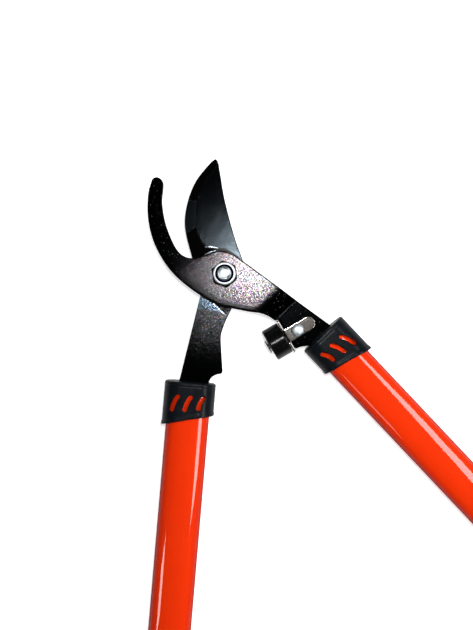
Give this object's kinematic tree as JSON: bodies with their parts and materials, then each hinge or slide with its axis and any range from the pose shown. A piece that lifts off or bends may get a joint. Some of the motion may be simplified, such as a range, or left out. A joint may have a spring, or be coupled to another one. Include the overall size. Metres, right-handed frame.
{
  "type": "bypass lopper",
  "caption": "Long handled bypass lopper: a hooked counter blade and a curved cutting blade turn on a pivot bolt, each riveted into an oval tube handle with a grip.",
  "frame": {"origin": "on the pivot's axis, in the flat outer face of the pivot bolt's head, which lies in the plane that the lopper rests on", "axes": "+Z along the pivot, from the bolt's head up to the nut; +Y from the pivot towards the jaws, halfway between the two handles at rest; +X towards the hook blade's handle, on the right seen from the nut"},
  "size_m": [0.5851, 0.6578, 0.0312],
  "materials": {
    "powder_coat": "speckled dark grey powder coat on steel",
    "blade_steel": "dark satin coated steel with a glossy ground edge",
    "zinc_plate": "bright zinc plated steel",
    "dark_zinc": "darkened zinc plated steel",
    "blue_nylon": "dark blue nylon",
    "white_nylon": "natural nylon, hidden",
    "black_rubber": "smooth glossy black rubber",
    "black_plastic": "fine textured matte black moulding",
    "grip_vinyl": "soft matte black vinyl",
    "orange_paint": "glossy orange-red enamel on steel tube"
  },
  "bodies": {
    "hook_half": {"hook_blade": "powder_coat", "bumper_bracket": "zinc_plate", "bumper_cushion": "black_rubber", "bumper_washer": "zinc_plate", "bumper_rivet": "dark_zinc", "bracket_rivet": "zinc_plate", "right_handle_tube": "orange_paint", "right_collar": "black_plastic", "right_tang_plug": "white_nylon", "right_tang_rivet_upper": "zinc_plate", "right_tang_rivet_lower": "zinc_plate", "right_grip": "grip_vinyl"},
    "cutting_half": {"cutting_blade": "blade_steel", "pivot_bolt": "zinc_plate", "pivot_nut": "zinc_plate", "nut_insert": "blue_nylon", "pivot_washer": "zinc_plate", "left_handle_tube": "orange_paint", "left_collar": "black_plastic", "left_tang_plug": "white_nylon", "left_tang_rivet_upper": "zinc_plate", "left_tang_rivet_lower": "zinc_plate", "left_grip": "grip_vinyl"}
  },
  "joints": [
    {"name": "jaw_pivot", "type": "hinge", "parent": "hook_half", "child": "cutting_half", "pos_m": [0, 0, 0.012], "axis": [0, 0, -1], "range_deg": [-31.8, 90]}
  ]
}
